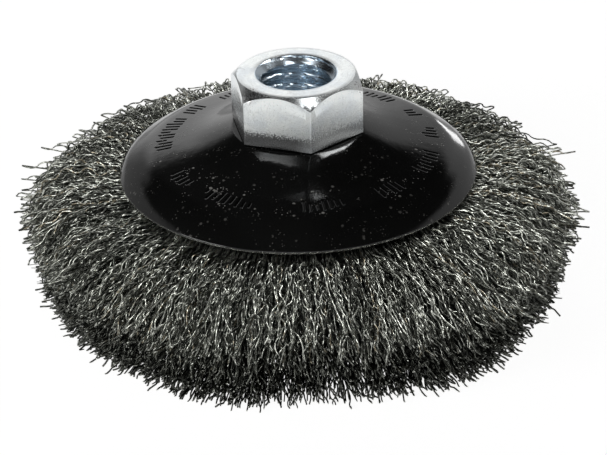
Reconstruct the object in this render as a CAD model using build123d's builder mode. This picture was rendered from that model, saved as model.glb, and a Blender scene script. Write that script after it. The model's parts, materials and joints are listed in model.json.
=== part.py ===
from build123d import *
import math
import os

os.makedirs("parts", exist_ok=True)

# Millimetres. Z is up, the wire tips stand on z = 0, the brush turns about the Z axis, the front is -Y.

# Overall sizes
seat_height = 32.2        # underside of the nut above the wire tips
skirt_r = 56.5            # widest edge of the wire skirt

# Spindle nut, for a 5/8-11 UNC spindle
nut_flats = 23.81
nut_height = 11.33
nut_turn = 10.8           # one corner stands this far round from the front, degrees
thread_major_r = 7.93
thread_minor_r = 6.75
nut_chamfer = 2.0         # height of the top chamfer at a corner
spigot_r = 9.5            # neck of the nut that goes through both pressings
foot_width = 1.8          # thin collar round the neck that keeps the hexagon off the cup
foot_height = 0.2
flare_lip = 1.7           # how far the riveted end spreads past the neck
flare_height = 1.5
flare_bevel = 0.8

# Upper cup, a steel pressing
cup_t = 1.5
cup_r = 35.93
cup_drop = 9.44           # rim edge below the nut seat
cup_knee_r = 21.0         # the cone is steeper inside this radius
cup_knee_drop = 3.2
cup_shoulder_r = 30.0
cup_shoulder_drop = 4.9
cup_lip_r = 34.0
cup_lip_drop = 7.3
land_width = 3.7          # flat ring round the neck, under the nut
land_round = 2.0
knee_round = 30.0
shoulder_round = 9.0
edge_round = 0.4          # outer edges of both pressings

# Lower plate, a steel pressing
plate_t = 1.5
plate_edge_r = 30.0
plate_edge_drop = 15.3    # upper side of its edge below the nut seat
plate_foot_drop = 10.7    # upper side of the pocket floor below the nut seat
plate_wall_run = 3.5      # how far the pocket wall leans out
pocket_round = 1.5

# Anchor ring
ring_wire_r = 1.5

# Wire skirt
hank_count = 36
skirt_edge_drop = 17.3    # widest edge below the nut seat
skirt_crown_share = 0.44  # crown and brow lie this far from the cup rim to the widest edge
skirt_crown_drop = 10.5
skirt_brow_share = 0.83
skirt_brow_drop = 13.9
tip_lean = 3.8            # the tips lie this much further in at the floor than at the widest edge
tip_flat = 2.7            # width of the ring the brush stands on

# Clearances
neck_gap = 0.05           # neck in the holes of the two pressings
land_gap = 0.4            # plate land stops this far inside the cup land
wire_gap = 0.1            # wires to pressings
tunnel_gap = 0.05         # wires to anchor ring
hank_gap = 0.2            # between neighbouring hanks, degrees
pocket_gap = 1.2          # pocket wall to the folded wires
fold_depth = 2.5          # wire folded over the inner side of the ring

# Sizes that follow from the ones above
nut_corner_r = nut_flats / math.sqrt(3)
nut_top = seat_height + nut_height
hex_foot = seat_height + foot_height
foot_r = spigot_r + foot_width
hole_r = spigot_r + neck_gap
land_r = spigot_r + land_width
plate_top = seat_height - cup_t
flare_top = plate_top - plate_t
plate_land_r = land_r - land_gap
plate_foot_r = plate_land_r + plate_wall_run
hank_inner_r = plate_foot_r + pocket_gap
ring_r = hank_inner_r + fold_depth + ring_wire_r
skirt_crown_r = cup_r + skirt_crown_share * (skirt_r - cup_r)
skirt_brow_r = cup_r + skirt_brow_share * (skirt_r - cup_r)
tip_r = skirt_r - tip_lean

# Outer line of the cup and upper line of the plate, from the axis outwards
cup_line = [
    (hole_r, seat_height),
    (land_r, seat_height),
    (cup_knee_r, seat_height - cup_knee_drop),
    (cup_shoulder_r, seat_height - cup_shoulder_drop),
    (cup_lip_r, seat_height - cup_lip_drop),
    (cup_r, seat_height - cup_drop),
]
plate_line = [
    (hole_r, plate_top),
    (plate_land_r, plate_top),
    (plate_foot_r, seat_height - plate_foot_drop),
    (plate_edge_r, seat_height - plate_edge_drop),
]


def parallel(line, depth):
    # The line that runs at this depth under the given one, its corners mitred.
    normals = []
    for (r0, z0), (r1, z1) in zip(line, line[1:]):
        length = math.hypot(r1 - r0, z1 - z0)
        normals.append(((z1 - z0) / length, -(r1 - r0) / length))
    before = [normals[0]] + normals
    after = normals + [normals[-1]]
    moved = []
    for (r, z), a, b in zip(line, before, after):
        mitre = depth / (1 + a[0] * b[0] + a[1] * b[1])
        moved.append((r + mitre * (a[0] + b[0]), z + mitre * (a[1] + b[1])))
    return moved


def height_at(line, r):
    # Height of a line at radius r.
    for (r0, z0), (r1, z1) in zip(line, line[1:]):
        if r0 <= r <= r1:
            return z0 + (z1 - z0) * (r - r0) / (r1 - r0)
    raise ValueError("radius lies outside the line")


def beyond(line, r):
    # The points of a line that lie further out than r.
    return [point for point in line if point[0] > r]


def round_corner(section, corner, radius):
    # Fillets the corner of a section nearest to the given point.
    fillet(section.vertices().sort_by_distance((*corner, 0))[0], radius)


# spindle_nut: hexagon, neck and riveted end in one piece
with BuildPart() as spindle_nut:
    with BuildSketch(Plane.XY.offset(hex_foot)):
        RegularPolygon(radius=nut_corner_r, side_count=6, rotation=nut_turn - 90)
    extrude(amount=nut_top - hex_foot)
    with BuildSketch(Plane.XZ):
        Polygon(
            (0, hex_foot),
            (nut_corner_r, hex_foot),
            (nut_corner_r, nut_top - nut_chamfer),
            (nut_flats / 2, nut_top),
            (0, nut_top),
            align=None,
        )
    revolve(axis=Axis.Z, mode=Mode.INTERSECT)
    with BuildSketch(Plane.XZ):
        Polygon(
            (0, flare_top - flare_height),
            (spigot_r + flare_lip - flare_bevel, flare_top - flare_height),
            (spigot_r + flare_lip, flare_top - flare_height + flare_bevel),
            (spigot_r + flare_lip, flare_top),
            (spigot_r, flare_top),
            (spigot_r, seat_height),
            (foot_r, seat_height),
            (foot_r, hex_foot),
            (0, hex_foot),
            align=None,
        )
    revolve(axis=Axis.Z)
    with BuildSketch(Plane.XZ):
        Polygon(
            (0, flare_top - flare_height),
            (thread_minor_r, flare_top - flare_height),
            (thread_minor_r, nut_top - (thread_major_r - thread_minor_r)),
            (thread_major_r, nut_top),
            (0, nut_top),
            align=None,
        )
    revolve(axis=Axis.Z, mode=Mode.SUBTRACT)
spindle_nut.part.label = "spindle_nut"
export_step(spindle_nut.part, "parts/spindle_nut.step")

# upper_cup: dished pressing the nut sits on
cup_under = parallel(cup_line, cup_t)
with BuildPart() as upper_cup:
    with BuildSketch(Plane.XZ) as cup_section:
        Polygon(*cup_line, *reversed(cup_under), align=None)
        round_corner(cup_section, cup_line[1], land_round)
        round_corner(cup_section, cup_line[2], knee_round)
        round_corner(cup_section, cup_line[3], shoulder_round)
        round_corner(cup_section, cup_line[5], edge_round)
    revolve(axis=Axis.Z)
upper_cup.part.label = "upper_cup"
export_step(upper_cup.part, "parts/upper_cup.step")

# lower_plate: pressing that holds the wires from below
plate_under = parallel(plate_line, plate_t)
with BuildPart() as lower_plate:
    with BuildSketch(Plane.XZ) as plate_section:
        Polygon(*plate_line, *reversed(plate_under), align=None)
        round_corner(plate_section, plate_under[2], pocket_round)
        round_corner(plate_section, plate_under[3], edge_round)
    revolve(axis=Axis.Z)
lower_plate.part.label = "lower_plate"
export_step(lower_plate.part, "parts/lower_plate.step")

# anchor_ring: round wire ring the hanks are folded over
hank_roof = parallel(cup_line, cup_t + wire_gap)
hank_floor = parallel(plate_line, -wire_gap)
ring_z = (height_at(hank_roof, ring_r) + height_at(hank_floor, ring_r)) / 2
with BuildPart() as anchor_ring:
    with BuildSketch(Plane.XZ):
        with Locations((ring_r, ring_z)):
            Circle(ring_wire_r)
    revolve(axis=Axis.Z)
anchor_ring.part.label = "anchor_ring"
export_step(anchor_ring.part, "parts/anchor_ring.step")

# wire_hank_01 and on: bundles of crimped wire, each filling one sector of the skirt
roof_start = (hank_inner_r, height_at(hank_roof, hank_inner_r))
floor_start = (hank_inner_r, height_at(hank_floor, hank_inner_r))
with BuildPart() as first_hank:
    with BuildSketch(Plane.XZ):
        with BuildLine():
            roof = Polyline(roof_start, *beyond(hank_roof, hank_inner_r))
            Spline(
                roof @ 1,
                (skirt_crown_r, seat_height - skirt_crown_drop),
                (skirt_brow_r, seat_height - skirt_brow_drop),
                (skirt_r, seat_height - skirt_edge_drop),
            )
            Polyline(
                (skirt_r, seat_height - skirt_edge_drop),
                (tip_r, 0),
                (tip_r - tip_flat, 0),
                *reversed(beyond(hank_floor, hank_inner_r)),
                floor_start,
                roof_start,
            )
        make_face()
    revolve(axis=Axis.Z, revolution_arc=360 / hank_count - hank_gap)
    with BuildSketch(Plane.XZ):
        with Locations((ring_r, ring_z)):
            Circle(ring_wire_r + tunnel_gap)
    revolve(axis=Axis.Z, mode=Mode.SUBTRACT)

for number in range(hank_count):
    with BuildPart() as hank:
        add(first_hank.part.rotate(Axis.Z, number * 360 / hank_count))
    hank.part.label = f"wire_hank_{number + 1:02d}"
    export_step(hank.part, f"parts/{hank.part.label}.step")
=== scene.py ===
import json
import math

import bpy
import numpy as np
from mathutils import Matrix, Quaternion, Vector

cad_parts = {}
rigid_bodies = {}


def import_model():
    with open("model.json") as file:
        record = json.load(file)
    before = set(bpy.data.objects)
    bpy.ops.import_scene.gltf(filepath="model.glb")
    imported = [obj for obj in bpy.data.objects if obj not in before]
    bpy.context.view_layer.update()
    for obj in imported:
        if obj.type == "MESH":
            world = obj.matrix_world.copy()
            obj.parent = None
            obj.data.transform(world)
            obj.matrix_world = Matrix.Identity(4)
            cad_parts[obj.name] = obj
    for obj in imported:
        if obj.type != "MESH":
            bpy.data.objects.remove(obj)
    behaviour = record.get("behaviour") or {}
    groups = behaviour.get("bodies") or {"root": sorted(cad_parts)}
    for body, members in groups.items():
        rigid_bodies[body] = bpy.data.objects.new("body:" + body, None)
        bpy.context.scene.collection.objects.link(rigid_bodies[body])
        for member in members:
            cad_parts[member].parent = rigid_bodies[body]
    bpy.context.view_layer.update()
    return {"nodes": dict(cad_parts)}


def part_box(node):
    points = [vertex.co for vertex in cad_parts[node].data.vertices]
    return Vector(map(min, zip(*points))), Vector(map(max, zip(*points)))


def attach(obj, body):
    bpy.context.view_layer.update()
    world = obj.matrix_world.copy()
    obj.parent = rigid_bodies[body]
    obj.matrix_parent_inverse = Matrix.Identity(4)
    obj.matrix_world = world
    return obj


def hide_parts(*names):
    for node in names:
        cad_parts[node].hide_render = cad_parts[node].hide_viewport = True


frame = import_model()
print("frame loaded:", len(frame["nodes"]), "nodes")

mm = 0.001
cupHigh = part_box("upper_cup")[1]
nutLow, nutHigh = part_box("spindle_nut")
seatZ = cupHigh.z / mm  # where the nut sits on the cup
nutTopZ = nutHigh.z / mm
neckEndZ = nutLow.z / mm
rimRadius = cupHigh.x / mm


class Signal:  # one socket's value, ready for sums
    def __init__(self, finish, socket):
        self.finish = finish
        self.socket = socket

    def __add__(self, other):
        return self.finish.sum("ADD", self, other)

    def __mul__(self, other):
        return self.finish.sum("MULTIPLY", self, other)

    def __sub__(self, other):
        return self.finish.sum("SUBTRACT", self, other)

    def __rsub__(self, other):
        return self.finish.sum("SUBTRACT", other, self)

    def __pow__(self, other):
        return self.finish.sum("POWER", self, other)

    __radd__ = __add__
    __rmul__ = __mul__


class Finish:  # a material or the world, and the nodes it is made of
    def __init__(self, block):
        block.use_nodes = True
        self.block = block
        self.tree = block.node_tree
        self.shader = self.tree.nodes.get("Principled BSDF") or self.tree.nodes["Background"]

    def add(self, kind, settings=None, sockets=None, out=0):
        node = self.tree.nodes.new(kind)
        for key, value in (settings or {}).items():
            setattr(node, key, value)
        for key, value in (sockets or {}).items():
            self.plug(node.inputs[key], value)
        return Signal(self, node.outputs[out])

    def plug(self, socket, value):
        if isinstance(value, Signal):
            self.tree.links.new(value.socket, socket)
        else:
            socket.default_value = value

    def sum(self, operation, first, second):
        return self.add("ShaderNodeMath", {"operation": operation}, {0: first, 1: second})

    def ramp(self, value, lowShade, high, bottom=0.0, top=1.0):  # a smooth step between two levels
        return self.add("ShaderNodeMapRange", {"interpolation_type": "SMOOTHSTEP"},
                        {"Value": value, 1: lowShade, 2: high, 3: bottom, 4: top})

    def mix(self, share, first, second):
        return self.add("ShaderNodeMix", {"data_type": "RGBA"}, {0: share, 6: first, 7: second}, out=2)

    def place(self, stretch=(1, 1, 1)):  # where the point is on the object, in millimetres
        spot = self.add("ShaderNodeTexCoord", out="Object")
        scale = tuple(side / mm for side in stretch)
        return self.add("ShaderNodeVectorMath", {"operation": "MULTIPLY"}, {0: spot, 1: scale})

    def noise(self, size, detail=3.0, rough=0.5, stretch=(1, 1, 1)):
        return self.add("ShaderNodeTexNoise", None, {"Vector": self.place(stretch), "Scale": 1 / size,
                                                     "Detail": detail, "Roughness": rough})

    def parts(self, vector):  # x, y and z of a vector, as three signals
        first = self.add("ShaderNodeSeparateXYZ", None, {0: vector})
        return [Signal(self, socket) for socket in first.socket.node.outputs]

    def bump(self, height, depth, under=None):
        sockets = {"Height": height, "Distance": depth * mm, "Strength": 1.0}
        if under is not None:
            sockets["Normal"] = under
        return self.add("ShaderNodeBump", None, sockets)

    def set(self, **sockets):
        for key, value in sockets.items():
            self.plug(self.shader.inputs[key.replace("_", " ")], value)


def grey(level, tint=(1, 1, 1)):
    return tuple(level * part for part in tint) + (1,)


def makePiece(name, points, quads, material, node):
    mesh = bpy.data.meshes.new(name)
    mesh.vertices.add(len(points))
    mesh.vertices.foreach_set("co", np.asarray(points, np.float32).ravel() * mm)
    mesh.loops.add(quads.size)
    mesh.loops.foreach_set("vertex_index", quads.astype(np.int32).ravel())
    mesh.polygons.add(len(quads))
    mesh.polygons.foreach_set("loop_start", np.arange(0, quads.size, 4, dtype=np.int32))
    mesh.polygons.foreach_set("use_smooth", np.ones(len(quads), bool))
    mesh.update(calc_edges=True)
    mesh.materials.append(material)
    piece = bpy.data.objects.new(name, mesh)
    bpy.context.scene.collection.objects.link(piece)
    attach(piece, "root")
    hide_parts(node)
    return piece


def turnedQuads(rows, columns):  # quads of a closed section turned all the way round
    row, column = np.meshgrid(np.arange(rows), np.arange(columns), indexing="ij")
    nextRow = (row + 1) % rows
    nextColumn = (column + 1) % columns
    corners = [row * columns + column, row * columns + nextColumn,
               nextRow * columns + nextColumn, nextRow * columns + column]
    return np.stack(corners, -1).reshape(-1, 4)


def roundedLine(corners, radii, steps=6):  # a line with each inner corner replaced by an arc
    line = [np.array(corners[0], float)]
    for before, corner, after, radius in zip(corners, corners[1:], corners[2:], radii):
        before, corner, after = (np.array(p, float) for p in (before, corner, after))
        inward = (before - corner) / np.linalg.norm(before - corner)
        outward = (after - corner) / np.linalg.norm(after - corner)
        if radius == 0:
            line.append(corner)
            continue
        half = math.acos(np.clip(inward @ outward, -1, 1)) / 2
        reach = radius / math.tan(half)
        middle = corner + (inward + outward) / np.linalg.norm(inward + outward) * radius / math.sin(half)
        start = corner + inward * reach - middle
        end = corner + outward * reach - middle
        turn = math.acos(np.clip(start @ end / radius**2, -1, 1))
        for step in range(steps + 1):
            share = step / steps
            arm = (math.sin((1 - share) * turn) * start + math.sin(share * turn) * end) / math.sin(turn)
            line.append(middle + arm)
    line.append(np.array(corners[-1], float))
    return np.array(line)


def divided(line, gap):  # the same line with extra points so that none are further apart than gap
    out = [line[0]]
    for before, after in zip(line, line[1:]):
        parts = max(1, math.ceil(np.linalg.norm(after - before) / gap))
        out += [before + (after - before) * part / parts for part in range(1, parts + 1)]
    return np.array(out)


def smoothLine(corners, count):  # an even row of points on a smooth curve through the corners
    knots = np.array([2 * np.array(corners[0]) - corners[1], *corners,
                      2 * np.array(corners[-1]) - corners[-2]], float)
    share = np.linspace(0, 1, 40, endpoint=False)[:, None]
    spans = []
    for a, b, c, d in zip(knots, knots[1:], knots[2:], knots[3:]):
        spans.append(0.5 * (2 * b + (c - a) * share + (2 * a - 5 * b + 4 * c - d) * share**2
                            + (3 * b - a - 3 * c + d) * share**3))
    dense = np.vstack([*spans, knots[-2:-1]])
    run = np.concatenate([[0], np.cumsum(np.linalg.norm(np.diff(dense, axis=0), axis=1))])
    even = np.linspace(0, run[-1], count)
    return np.stack([np.interp(even, run, dense[:, side]) for side in range(2)], -1), run[-1]


nut = {
    "flats": 23.81,  # across the flats
    "turn": 10.8,  # first corner, degrees from the front
    "cornerRound": 0.35,
    "topInset": 0.2,  # flat top ends this far inside the flats
    "chamferSlope": 1.05,
    "threadOuter": 7.94,
    "threadInner": 6.75,
    "pitch": 25.4 / 11,
    "rowsPerPitch": 14,
    "footGap": 0.2,  # thin collar between hexagon and cup
    "footRadius": 11.3,
    "neckRadius": 9.5,
    "flareRadius": 11.2,
    "flareHeight": 1.5,
    "colour": grey(0.84, (0.97, 1.0, 0.99)),
    "cloudColour": grey(0.74, (0.95, 1.0, 1.03)),
    "threadColour": grey(0.74, (0.86, 0.98, 1.08)),
    # dark colour of the scraped chips, and of the painted reflection of the black cup low on the hexagon
    "chipAndReflectionColour": grey(0.12),
    "dishReflectionHeight": 2.6,  # painted reflection of the black cup: dark speckled band above the seat
    "dishReflectionBlur": 0.9,
    "chips": [(-49.2, 12.3, 2.4), (70.8, 13.2, 1.6)],  # scraped corners: degrees from front, radius, size
    "chipDrop": (2.6, 1.8),  # they fade out this far below the top
    "boreEdge": (8.1, 8.3),  # radii between which thread colour turns into nut colour
    "outsideFrom": (11.0, 11.3),
    "roughness": 0.25,
    "threadRoughness": 0.20,
    "edgeBreak": 0.08,  # small bevels along the edges
    "flareRound": 0.9,
    "sharpAngle": 24,
}


def zincFinish():
    f = Finish(bpy.data.materials.new("zincPlate"))
    x, y, z = f.parts(f.place())
    radius = (x * x + y * y) ** 0.5
    inBore = f.ramp(radius, *nut["boreEdge"], 1, 0)
    grain = f.noise(0.28, 4, 0.6)
    cloud = f.noise(4.5, 3, 0.5)
    scuff = f.ramp(f.noise(1.6, 4, 0.7, (1.0, 1.0, 0.35)), 0.60, 0.72)
    colour = f.mix(f.ramp(cloud, 0.35, 0.7), nut["colour"], nut["cloudColour"])
    colour = f.mix(inBore, colour, nut["threadColour"])
    colour = f.mix(f.ramp(grain, 0.54, 0.74, 0, 0.45), colour, grey(0.40))
    outside = f.ramp(radius, *nut["outsideFrom"])
    # painted reflection of the black cup in the lower part of the hexagon's faces
    dishReflectionTop = seatZ + nut["dishReflectionHeight"]
    dishReflection = f.ramp(z + 4.0 * (grain - 0.5), dishReflectionTop, dishReflectionTop + nut["dishReflectionBlur"], 0.93, 0)
    dishReflection = dishReflection * outside * f.ramp(x, -1.0, 4.0, 1, 0.4)  # painted reflection, weaker on the right
    colour = f.mix(dishReflection, colour, nut["chipAndReflectionColour"])
    torn = f.noise(0.45, 4, 0.7, (1.0, 1.0, 0.5))
    for turn, reach, size in nut["chips"]:
        spot = math.radians(turn - 90)
        gapX, gapY = x - reach * math.cos(spot), y - reach * math.sin(spot)
        near = f.ramp(gapX * gapX + gapY * gapY, 0.3 * size**2, size**2, 1, 0)
        near = near * f.ramp(z, nutTopZ - nut["chipDrop"][0], nutTopZ - nut["chipDrop"][1])
        colour = f.mix(near * f.ramp(torn, 0.46, 0.52), colour, grey(0.88))
        colour = f.mix(near * f.ramp(torn, 0.54, 0.60), colour, nut["chipAndReflectionColour"])
    level = f.ramp(radius, *nut["boreEdge"], nut["threadRoughness"], nut["roughness"])
    f.set(Base_Color=colour, Metallic=1.0, Roughness=level + 0.12 * scuff + 0.2 * (grain - 0.5),
          Normal=f.bump(grain + 0.5 * scuff, 0.004))
    return f.block


def hexRadius(angle):  # outline of the hexagon with small rounded corners
    flat = nut["flats"] / 2
    blend = nut["cornerRound"]
    off = (angle - math.radians(nut["turn"] - 90) + math.pi / 6) % (math.pi / 3) - math.pi / 6
    centre = (flat - blend) / math.cos(math.pi / 6)
    limit = math.atan2(blend * 0.5, centre + blend * math.cos(math.pi / 6))
    flatPart = flat / np.cos(math.pi / 6 - np.abs(off))
    under = np.maximum(blend**2 - (centre * np.sin(off)) ** 2, 0)
    return np.where(np.abs(off) < limit, centre * np.cos(off) + np.sqrt(under), flatPart)


def nutAngles():  # columns, closer together at the corners
    side = np.linspace(1.0, 59.0, 27)
    sector = np.concatenate([[-0.7, -0.35, 0, 0.35, 0.7], side])
    start = nut["turn"] - 90
    return np.radians(np.concatenate([start + 60 * sectorNumber + sector for sectorNumber in range(6)]))


def threadRadius(angle, height):  # 60 degree thread with flat crests and roots
    phase = (height / nut["pitch"] - angle / (2 * math.pi)) % 1.0
    off = np.abs(phase - 0.5)
    share = np.clip((off - 1 / 16) / (3 / 8 - 1 / 16), 0, 1)
    return nut["threadOuter"] + (nut["threadInner"] - nut["threadOuter"]) * share


def makeNut():
    angle = nutAngles()
    outline = hexRadius(angle)
    ones = np.ones_like(angle)
    bevel = nut["edgeBreak"]
    mouthRadius = nut["threadOuter"] + 2 * bevel
    rows = []

    def ring(radius, height):
        rows.append((radius * ones, height * ones))

    boreRows = int((nutTopZ - 0.1 - neckEndZ) / nut["pitch"] * nut["rowsPerPitch"])
    for height in np.linspace(neckEndZ + 0.15, nutTopZ - 0.12, boreRows):
        mouth = nut["threadOuter"] + bevel - (nutTopZ - height)
        lower = nut["threadInner"] + 0.4 - (height - neckEndZ)
        rows.append((np.maximum(np.maximum(threadRadius(angle, height), mouth), lower), height * ones))
    ring(nut["threadOuter"] + bevel, nutTopZ - 0.03)
    ring(mouthRadius, nutTopZ)
    topEdge = nut["flats"] / 2 - nut["topInset"]
    for share in (0.33, 0.66, 0.97):
        ring(mouthRadius + (topEdge - mouthRadius) * share, nutTopZ)
    ring(topEdge, nutTopZ - 0.03)
    drop = 0.05 + (outline - topEdge) * nut["chamferSlope"]
    for share in (0.5, 0.97):
        rows.append((topEdge + (outline - topEdge) * share, nutTopZ - drop * share))
    wallTop = nutTopZ - drop - 0.06
    rows.append((outline, wallTop))
    hexFoot = seatZ + nut["footGap"]
    for share in (0.25, 0.5, 0.75, 1.0):
        rows.append((outline, wallTop * (1 - share) + (hexFoot + bevel) * share))
    rows.append((outline - bevel, hexFoot * ones))
    ring(nut["footRadius"] + 0.1, hexFoot)
    ring(nut["footRadius"], hexFoot - bevel)
    ring(nut["footRadius"], seatZ + 0.01)
    ring(nut["neckRadius"], seatZ + 0.01)
    flareTop = neckEndZ + nut["flareHeight"]
    ring(nut["neckRadius"], flareTop)
    ring(nut["flareRadius"] - 0.15, flareTop)
    lip = nut["flareRound"]
    for turn in range(0, 91, 15):  # rounded lip of the riveted end
        swing = math.radians(turn)
        ring(nut["flareRadius"] - lip + lip * math.cos(swing), neckEndZ + lip - lip * math.sin(swing))
    ring(nut["threadInner"] + 1.6, neckEndZ)
    ring(nut["threadInner"] + 0.5, neckEndZ)
    radius = np.stack([r for r, _ in rows])
    height = np.stack([z for _, z in rows])
    points = np.stack([radius * np.cos(angle), radius * np.sin(angle), height], -1).reshape(-1, 3)
    quads = turnedQuads(len(rows), len(angle))
    piece = makePiece("hexNut", points, quads, zincFinish(), "spindle_nut")
    piece.data.set_sharp_from_angle(angle=math.radians(nut["sharpAngle"]))
    print("nut made:", len(quads), "faces")


cup = {
    "thickness": 1.5,
    "holeRadius": 9.55,
    "landRadius": 13.2,
    "knee": (21.0, 3.2),  # radius and depth below the seat
    "shoulder": (30.0, 4.9),
    "lip": (34.0, 7.3),
    "rimDepth": 9.44,
    "rounds": [2.0, 30.0, 9.0, 0.0],  # at land, knee, shoulder and lip
    "edgeRound": 0.4,
    "columns": 1200,
    "rowGaps": (0.19, 1.6, 3.0),  # between rows in the stamped band, elsewhere outside, and inside
    "sharpAngle": 50,
    "stampInner": 24.9,  # band of stamped bars
    "stampOuter": 28.3,
    "stampMargin": 0.4,
    "stampDepth": 0.22,
    "barGroups": [(4, 4), (26, 3), (44, 6), (76, 9), (112, 6), (138, 4), (153, 12), (206, 5), (228, 9),
                  (272, 7), (306, 5), (333, 7)],  # first bar in degrees, number of bars
    "barStep": 2.7,
    "barHalfWidth": 0.16,
    "barSlope": 0.26,
    "colour": grey(0.010, (1.0, 1.02, 0.98)),
    "dustColour": grey(0.72, (1.0, 0.98, 0.92)),
    "bareColour": grey(0.62, (1.0, 1.0, 0.96)),
    "roughness": 0.07,
}


def enamelFinish():
    f = Finish(bpy.data.materials.new("blackEnamel"))
    x, y, z = f.parts(f.place())
    radius = (x * x + y * y) ** 0.5
    peel = f.noise(2.4, 2, 0.5)
    fine = f.noise(0.5, 3, 0.55)
    speck = 0.0
    for scale, lowShade, high, spread, patchLow in ((0.5, 0.09, 0.20, 3.0, 0.47), (1.5, 0.12, 0.26, 3.0, 0.52)):
        cells = f.add("ShaderNodeTexVoronoi", {"feature": "F1"},
                      {"Vector": f.place(), "Scale": scale, "Randomness": 1.0}, out="Distance")
        sparse = f.ramp(f.noise(spread, 3, 0.6), patchLow, patchLow + 0.08)
        speck = f.sum("MAXIMUM", speck, f.ramp(cells, lowShade, high, 1, 0) * sparse)
    band = f.ramp(radius, cup["stampInner"] - 4, cup["stampInner"] - 1) * f.ramp(
        radius, cup["stampOuter"], cup["stampOuter"] + 2, 1, 0)
    speck = speck * (0.2 + 0.8 * band) * f.ramp(y, 4.0, 9.0, 1, 0.3)
    edgeZ = seatZ - cup["rimDepth"]
    edgeWear = f.ramp(z + 0.3 * fine, edgeZ + 0.14, edgeZ + 0.26, 1, 0) * f.ramp(
        radius, rimRadius - 0.6, rimRadius - 0.4) * f.ramp(f.noise(4.0, 3, 0.6), 0.36, 0.52, 0.25, 1)
    film = f.ramp(f.noise(9.0, 4, 0.6), 0.35, 0.7)
    colour = f.mix(speck, cup["colour"], cup["dustColour"])
    colour = f.mix(edgeWear, colour, cup["bareColour"])
    f.set(Base_Color=colour, Metallic=edgeWear * 0.9,
          Roughness=cup["roughness"] + 0.05 * film + 0.35 * speck + 0.2 * edgeWear,
          Normal=f.bump(peel * 0.6 + fine * 0.05 + speck * 0.5, 0.04))
    f.shader.inputs["Specular IOR Level"].default_value = 0.7
    return f.block


def stampMask(angle, radius):  # where bars are pressed in, from 0 to 1
    turn = np.degrees(angle) % 360
    depth = np.zeros(np.broadcast(turn, radius).shape)
    draw = np.random.default_rng(7)
    middle = (cup["stampInner"] + cup["stampOuter"]) / 2
    halfBand = (cup["stampOuter"] - cup["stampInner"]) / 2
    for start, count in cup["barGroups"]:
        for number in range(count):
            spot = start + cup["barStep"] * number
            across = (turn - spot + 180) % 360 - 180
            sideways = across * math.pi / 180 * radius
            tall = draw.uniform(0.45, 1) * halfBand
            shift = draw.uniform(tall - halfBand, halfBand - tall)
            shape = np.maximum(np.abs(sideways) - cup["barHalfWidth"],
                               np.abs(radius - middle - shift) - tall)
            depth = np.maximum(depth, np.clip(0.5 - shape / cup["barSlope"], 0, 1))
    return depth * depth * (3 - 2 * depth)


def makeCup():
    corners = [(cup["landRadius"], 0), cup["knee"], cup["shoulder"], cup["lip"], (rimRadius, cup["rimDepth"])]
    outside = roundedLine([(cup["holeRadius"], seatZ)] + [(r, seatZ - depth) for r, depth in corners],
                          cup["rounds"])
    steps = np.diff(outside, axis=0)
    facing = np.stack([steps[:, 1], -steps[:, 0]], -1) / np.linalg.norm(steps, axis=1)[:, None]
    corner = np.vstack([facing[:1], facing[:-1] + facing[1:], facing[-1:]])
    corner[1:-1] /= (1 + np.sum(facing[:-1] * facing[1:], -1))[:, None]
    inside = outside + corner * cup["thickness"]
    fine, coarse, hidden = cup["rowGaps"]
    bandFrom = cup["stampInner"] - cup["stampMargin"]
    bandTo = cup["stampOuter"] + cup["stampMargin"]
    band = [point for point in divided(outside, fine) if bandFrom < point[0] < bandTo]
    plain = [point for point in divided(outside, coarse) if not bandFrom < point[0] < bandTo]
    upper = np.array(sorted(plain[:-1] + band, key=lambda point: point[0]))
    edge = roundedLine([outside[-2], outside[-1], inside[-1], inside[-2]],
                       [cup["edgeRound"], cup["edgeRound"]])[1:-1]
    section = np.vstack([upper, edge, divided(inside[::-1], hidden)[1:]])
    angle = np.linspace(0, 2 * math.pi, cup["columns"], endpoint=False)
    radius = section[:, 0][:, None] * np.ones_like(angle)
    height = section[:, 1][:, None] * np.ones_like(angle)
    top = slice(0, len(upper))
    height[top] -= cup["stampDepth"] * stampMask(angle[None, :], radius[top])
    points = np.stack([radius * np.cos(angle), radius * np.sin(angle), height], -1).reshape(-1, 3)
    quads = turnedQuads(len(section), len(angle))[:, ::-1]
    piece = makePiece("dishedCup", points, quads, enamelFinish(), "upper_cup")
    piece.data.set_sharp_from_angle(angle=math.radians(cup["sharpAngle"]))
    print("cup made:", len(quads), "faces")


plate = {  # plate and anchor ring keep the shape they have in the frame
    "colour": grey(0.016),
    "scuffColour": grey(0.16, (1.0, 0.98, 0.94)),
    "roughness": 0.3,
    "scuffRadius": 12.6,  # rubbed bare round the riveted lip
    "scuffBlur": 2.2,
}


def plateFinish():
    f = Finish(bpy.data.materials.new("plateEnamel"))
    x, y, _ = f.parts(f.place())
    radius = (x * x + y * y) ** 0.5
    peel = f.noise(1.8, 3, 0.5)
    scratch = f.noise(0.7, 4, 0.7, (1.0, 0.12, 1.0))
    scuffEnd = plate["scuffRadius"] + plate["scuffBlur"]
    scuff = f.ramp(radius + 3.0 * scratch, plate["scuffRadius"], scuffEnd, 0.8, 0)
    rub = f.ramp(scratch, 0.66, 0.72) * 0.35
    worn = f.sum("MAXIMUM", scuff, rub)
    f.set(Base_Color=f.mix(worn, plate["colour"], plate["scuffColour"]), Metallic=worn * 0.8,
          Roughness=plate["roughness"] + 0.15 * peel + 0.1 * worn,
          Normal=f.bump(peel, 0.05))
    return f.block


def ringFinish():
    f = Finish(bpy.data.materials.new("drawnWire"))
    grain = f.noise(0.4, 3, 0.6)
    f.set(Base_Color=f.mix(f.ramp(grain, 0.4, 0.7), grey(0.30), grey(0.17, (1.0, 0.95, 0.85))),
          Metallic=1.0, Roughness=0.35 + 0.2 * grain, Normal=f.bump(grain, 0.02))
    return f.block


def dressNode(name, material):
    mesh = frame["nodes"][name].data
    mesh.materials.clear()
    mesh.materials.append(material)


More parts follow.
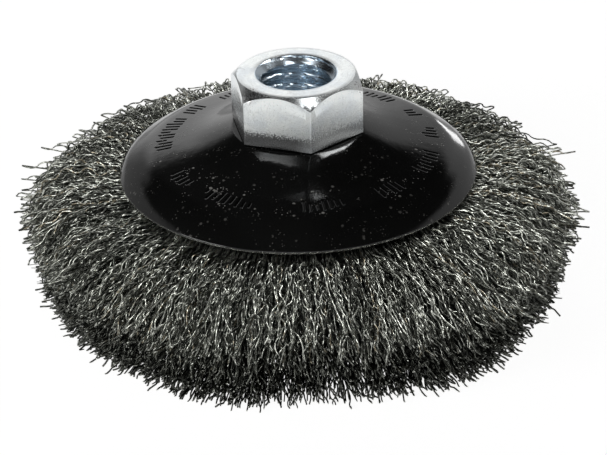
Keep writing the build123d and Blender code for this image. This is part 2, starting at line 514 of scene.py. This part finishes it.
skirt = {
    "hanks": 36,
    "wires": 230,  # in each hank
    "wireRadius": 0.17,
    "sides": 4,
    "rings": 46,
    "crimpLength": 5.0,
    "crimpHeight": 0.58,
    "crimpTilt": 0.40,  # spread of the crimp planes about upright, radians
    "waverHeight": 0.6,  # slower undulation that lets the wires dive under each other
    "lengthSpread": 0.026,
    "sideDrift": 3.6,  # degrees, at the tips
    "strayShare": 0.24,
    "strayLift": (0.7, 3.8),  # how far the loose ends stand off
    "topBias": 1.45,  # above 1 sends more of the wires to the upper side
    "planeTwist": 0.6,  # how far a crimp plane twists along its wire, radians
    "waverLength": (11, 19),
    "freeFrom": 33.5,  # wires lie straight inside this radius, under the cup
    "freeOver": 5.0,
    "hiddenRings": 5,  # few cross-sections on that first part
    "hiddenShare": 0.24,
    "shadeHeights": (6.0, 17.0),  # painted shade: the skirt gets darker from the second height down to the first
    "darkColour": grey(0.045, (1.0, 1.05, 0.90)),
    "midColour": grey(0.25, (1.0, 1.04, 0.91)),
    "brightColour": grey(0.72, (1.0, 1.02, 0.93)),
    "brassColour": (0.30, 0.25, 0.17, 1),
    # How much further out the tips reach: degrees from the front, millimetres
    "tipReach": [(-180, -2.0), (-140, -2.5), (-100, -1.8), (-60, -1.8), (-45, -0.4), (-32, -0.2), (-22, 1.6),
                 (-15, 2.0), (-6, 0.2), (2, -0.9), (10, -0.2), (22, 1.2), (33, 2.8), (42, 2.2), (52, -0.6),
                 (75, -1.4), (105, -1.6), (140, -2.6), (180, -2.0)],
    # Upper and lower side of the skirt: radius and height
    "roof": [(24.0, 27.3), (30.0, 25.2), (34.3, 21.3), (39.5, 21.1), (45.0, 20.8), (50.0, 19.2),
             (53.2, 17.2), (56.0, 14.6)],
    "floor": [(24.0, 20.0), (29.0, 17.9), (33.5, 14.2), (38.5, 9.8), (43.5, 5.6), (47.6, 2.7),
              (50.4, 1.2), (52.4, 0.4)],
}


def wireFinish():
    f = Finish(bpy.data.materials.new("crimpedWire"))
    tone = f.add("ShaderNodeAttribute", {"attribute_name": "tone"}, out="Fac")
    soot = f.noise(1.5, 3, 0.6)
    fleck = f.noise(0.22, 2, 0.6)
    glint = f.ramp(f.noise(0.8, 2, 0.5) + 0.22 * tone, 0.58, 0.74)
    colour = f.mix(f.ramp(tone, 0.05, 0.7), skirt["darkColour"], skirt["midColour"])
    brass = f.ramp(tone, 0.50, 0.52) * f.ramp(tone, 0.57, 0.59, 1, 0)
    colour = f.mix(0.7 * brass, colour, skirt["brassColour"])
    colour = f.mix(glint, colour, skirt["brightColour"])
    _, _, z = f.parts(f.place())
    # painted shade towards the tips, mixed with the soot on the next line
    lowShade = f.ramp(z, *skirt["shadeHeights"], 0.88, 0)
    colour = f.mix(f.sum("MAXIMUM", f.ramp(soot, 0.52, 0.70, 0, 0.7), lowShade), colour, skirt["darkColour"])
    colour = f.mix(f.ramp(tone, 0.96, 0.99, 0, 0.7), colour, skirt["brightColour"])  # cut ends
    f.set(Base_Color=colour, Metallic=1.0, Roughness=0.24 + 0.16 * soot + 0.10 * fleck,
          Normal=f.bump(fleck, 0.01))
    return f.block


def tubeQuads(wires, rings, sides):
    wire, ring, side = np.meshgrid(np.arange(wires), np.arange(rings - 1), np.arange(sides), indexing="ij")
    start = wire * rings * sides
    nextSide = (side + 1) % sides
    walls = np.stack([start + ring * sides + side, start + ring * sides + nextSide,
                      start + (ring + 1) * sides + nextSide, start + (ring + 1) * sides + side], -1)
    first = (np.arange(wires) * rings * sides)[:, None]
    last = first + (rings - 1) * sides
    corners = np.arange(sides)[None, :]
    return np.vstack([walls.reshape(-1, 4), first + corners[:, ::-1], last + corners])


def addBakeMap(mesh, wires, rings, sides, quads):  # each wire gets a strip of its own
    wire = quads // (rings * sides)
    ring = quads % (rings * sides) // sides
    side = quads % sides
    seam = (side.max(1) - side.min(1) == sides - 1)[:, None] & (side == 0)
    side = side + sides * seam
    across = (wire + 0.08 + 0.84 * side / sides) / wires
    along = 0.01 + 0.98 * ring / (rings - 1)
    layer = mesh.uv_layers.new(name="OFBake")
    layer.data.foreach_set("uv", np.stack([across, along], -1).astype(np.float32).ravel())


def unit(vectors):
    return vectors / np.linalg.norm(vectors, axis=-1, keepdims=True)


def wirePaths(draw, middleAngle, wires, rings):  # centre lines of one hank's wires, in millimetres
    roof, roofRun = smoothLine(skirt["roof"], 200)
    floor, floorRun = smoothLine(skirt["floor"], 200)
    layer = 1 - draw.random(wires) ** skirt["topBias"]
    reach = 1 + draw.normal(0, skirt["lengthSpread"], wires)
    stray = draw.random(wires) < skirt["strayShare"]
    reach += np.where(stray, draw.uniform(0, 0.03, wires), 0)
    hidden, bend = skirt["hiddenRings"], skirt["hiddenShare"]
    ringShare = np.concatenate([np.linspace(0, bend, hidden)[:-1], np.linspace(bend, 1, rings - hidden),
                                [1.0]])
    along = reach[:, None] * ringShare
    steps = np.linspace(0, 1, 200)
    path = np.zeros((wires, len(ringShare), 2))
    for side in range(2):
        over = np.interp(along, steps, roof[:, side])
        under = np.interp(along, steps, floor[:, side])
        path[..., side] = over + (under - over) * layer[:, None]
    beyond = np.maximum(along - 1, 0)[..., None]
    ends = roof[-1] - roof[-8] + (floor[-1] - floor[-8] - roof[-1] + roof[-8]) * layer[:, None, None]
    path += beyond * 200 / 7 * ends
    run = (roofRun + (floorRun - roofRun) * layer)[:, None] * along
    tangent = unit(np.gradient(path, axis=1) + 1e-9)
    normal = np.stack([-tangent[..., 1], tangent[..., 0]], -1)
    free = np.clip((path[..., 0] - skirt["freeFrom"]) / skirt["freeOver"], 0, 1)
    free = free * free * (3 - 2 * free)
    pitch = skirt["crimpLength"] * draw.uniform(0.75, 1.2, wires)[:, None]
    phase = 2 * math.pi * (run / pitch + draw.random(wires)[:, None])
    wave = np.sin(phase) + 0.12 * np.sin(3 * phase)
    height = skirt["crimpHeight"] * (draw.uniform(0.55, 1.35, wires) * np.where(stray, 0.65, 1))[:, None]
    tilt = draw.normal(0, skirt["crimpTilt"], wires)[:, None]
    plane = math.pi / 2 + tilt + skirt["planeTwist"] * along * draw.normal(0, 1, wires)[:, None]
    length = draw.uniform(*skirt["waverLength"], wires)[:, None]
    slow = 2 * math.pi * (run / length + draw.random(wires)[:, None])
    waver = skirt["waverHeight"] * np.where(stray | (layer > 0.85), 0.4, 1.0)[:, None] * free
    wander = waver * np.sin(slow)
    dive = waver * np.sin(0.7 * slow + draw.uniform(0, 6, wires)[:, None])
    flick = np.where(stray & (layer < 0.3), draw.uniform(*skirt["strayLift"], wires), 0)[:, None] * along**6
    lift = draw.normal(0, 0.3, wires)[:, None] * along**2 + flick
    outward = height * wave * np.sin(plane) * free + dive + lift * free
    sideways = height * wave * np.cos(plane) * free + wander
    path = path + normal * outward[..., None]
    base = math.radians(360 / skirt["hanks"]) * (draw.random(wires) - 0.5) * 1.06
    drift = np.radians(draw.normal(0, skirt["sideDrift"], wires))[:, None] * along**1.5
    fromFront = (np.degrees(middleAngle + base) + 270) % 360 - 180
    clump = np.sin(fromFront * 1.9) * math.radians(0.6)
    angle = middleAngle + base[:, None] + (drift + clump[:, None] * along**2) * free + sideways / path[..., 0]
    extra = np.interp(fromFront, *np.transpose(skirt["tipReach"]))
    ragged = 0.35 * np.sin(fromFront * 0.71) + 0.35 * np.sin(fromFront * 1.27 + 1.0)
    path[..., 0] += (extra + ragged)[:, None] * along**3
    height = np.maximum(path[..., 1], skirt["wireRadius"] + 0.02)
    return np.stack([path[..., 0] * np.cos(angle), path[..., 0] * np.sin(angle), height], -1), angle


def makeHank(number, material):
    wires, rings, sides = skirt["wires"], skirt["rings"], skirt["sides"]
    draw = np.random.default_rng(100 + number)
    node = f"wire_hank_{number + 1:02d}"
    middleAngle = math.radians((number + 0.5) * 360 / skirt["hanks"])
    centre, angle = wirePaths(draw, middleAngle, wires, rings)
    ahead = unit(np.gradient(centre[:, :-1], axis=1))
    ahead = np.concatenate([ahead, ahead[:, -1:]], 1)
    centre[:, -1] += ahead[:, -1] * 0.04
    around = np.stack([-np.sin(angle), np.cos(angle), np.zeros_like(angle)], -1)
    first = unit(np.cross(ahead, around))
    second = np.cross(ahead, first)
    thickness = skirt["wireRadius"] * draw.uniform(0.9, 1.1, wires)[:, None] * np.ones(rings)
    thickness[:, -1] *= 0.7
    corner = np.arange(sides) * 2 * math.pi / sides + math.pi / sides
    spoke = first[..., None, :] * np.cos(corner)[:, None] + second[..., None, :] * np.sin(corner)[:, None]
    points = centre[..., None, :] + spoke * thickness[..., None, None]
    points[..., 2] = np.maximum(points[..., 2], 0.0)
    quads = tubeQuads(wires, rings, sides)
    piece = makePiece(f"crimpedHank{number + 1:02d}", points.reshape(-1, 3), quads, material,
                      node)
    tone = 0.95 * draw.random(wires)[:, None, None] * np.ones((wires, rings, sides))
    tone[:, -1] = 1.0
    piece.data.attributes.new("tone", "FLOAT", "POINT").data.foreach_set(
        "value", tone.astype(np.float32).ravel())
    addBakeMap(piece.data, wires, rings, sides, quads)
    return len(quads)


studio = {
    "floorColour": grey(0.62),
    "clothColour": grey(0.60),
    "floorGlow": 0.93,
    "floorSide": 4.0,  # metres from the middle
    "horizon": 0.90,  # brightness of the room low down
    "zenith": 0.025,  # and overhead
    "bandTop": 0.39,  # sine of the angle where the bright band starts to fade
    "darkFrom": 0.52,
    "leftFade": (-0.22, -0.50, 0.30),  # the band is dimmer to both sides: from, to, share left
    "rightFade": (0.00, 0.22, 0.42),
    "floorFade": (150, 330, 0.42),  # and so is the floor further out, in millimetres
    "lampAim": 0.02,  # height the lamps point at, metres
    "lights": [  # name, place in metres, width and height, brightness, the pieces it is kept for
        ("leftSoftbox", (-0.80, -0.45, 0.20), (0.5, 0.3), 3.4, ""),
        ("wireKey", (-0.30, -0.62, 0.75), (0.35, 0.35), 15.0, "crimpedHank"),
        ("wireRear", (0.35, 0.55, 0.80), (0.35, 0.35), 17.0, "crimpedHank"),
        ("nutFront", (0.26, -0.47, 0.84), (0.28, 0.28), 4.4, "hexNut"),
        ("nutRight", (0.45, 0.34, 0.83), (0.45, 0.40), 16.0, "hexNut"),
        ("nutLeft", (-0.35, -0.05, 0.93), (0.35, 0.35), 2.4, "hexNut"),
        ("nutBack", (-0.10, 0.90, 0.50), (0.60, 0.25), 0.75, "hexNut"),
        ("cupWindow", (0.27, 0.70, 0.06), (0.13, 0.07), 4.0, "dishedCup"),
    ],
}

camera = {
    "place": (0.0, -0.4847, 0.2727),
    "aim": (0.0008, 0.0, 0.0089),
    "lens": 161.95,
    "roll": -1.21,
}


def makeStudio():
    f = Finish(bpy.data.materials.new("paleFloor"))
    cloth = f.noise(60, 2, 0.5)
    x, y, _ = f.parts(f.place())
    near, far, dim = studio["floorFade"]
    distance = f.ramp((x * x + y * y) ** 0.5, near, far)
    f.set(Base_Color=f.mix(cloth, studio["floorColour"], studio["clothColour"]), Roughness=0.8,
          Emission_Color=f.mix(distance, grey(1.0), grey(dim)), Emission_Strength=studio["floorGlow"])
    side = studio["floorSide"]
    mesh = bpy.data.meshes.new("floor")
    mesh.from_pydata([(-side, -side, 0), (side, -side, 0), (side, side, 0), (-side, side, 0)], [],
                     [(0, 1, 2, 3)])
    mesh.materials.append(f.block)
    floor = bpy.data.objects.new("floor", mesh)
    bpy.context.scene.collection.objects.link(floor)

    room = Finish(bpy.data.worlds.new("softRoom"))
    bpy.context.scene.world = room.block
    x, _, z = room.parts(room.add("ShaderNodeTexCoord", out="Generated"))
    band = room.ramp(z, studio["bandTop"], studio["darkFrom"], studio["horizon"], studio["zenith"])
    for side in ("leftFade", "rightFade"):
        near, far, dim = studio[side]
        band = band * room.ramp(x, near, far, 1, dim)
    room.set(Color=grey(1.0), Strength=band)
    middle = Vector((0, 0, studio["lampAim"]))
    for name, place, size, brightness, keptFor in studio["lights"]:
        light = bpy.data.lights.new(name, "AREA")
        light.shape = "RECTANGLE"
        light.size, light.size_y = size
        light.energy = brightness * math.pi * size[0] * size[1]
        lamp = bpy.data.objects.new(name, light)
        lamp.location = place
        lamp.rotation_euler = (middle - lamp.location).to_track_quat("-Z", "Y").to_euler()
        bpy.context.scene.collection.objects.link(lamp)
        if keptFor:
            lit = bpy.data.collections.new(name + "Lit")
            for piece in bpy.data.objects:
                if piece.name.startswith(keptFor):
                    lit.objects.link(piece)
            lamp.light_linking.receiver_collection = lit
    print("studio ready")


def makeCamera():
    lens = bpy.data.cameras.new("camera")
    lens.sensor_width = 36
    lens.lens = camera["lens"]
    lens.clip_start = 0.01
    view = bpy.data.objects.new("camera", lens)
    view.location = camera["place"]
    look = (Vector(camera["aim"]) - view.location).to_track_quat("-Z", "Y")
    view.rotation_mode = "QUATERNION"
    view.rotation_quaternion = look @ Quaternion((0, 0, 1), math.radians(camera["roll"]))
    bpy.context.scene.collection.objects.link(view)
    bpy.context.scene.camera = view
    bpy.context.scene.view_settings.view_transform = "Standard"


makeCamera()
makeNut()
makeCup()
dressNode("lower_plate", plateFinish())
dressNode("anchor_ring", ringFinish())
wireMaterial = wireFinish()
faceCount = sum(makeHank(number, wireMaterial) for number in range(skirt["hanks"]))
print("wires made:", faceCount, "faces")
makeStudio()
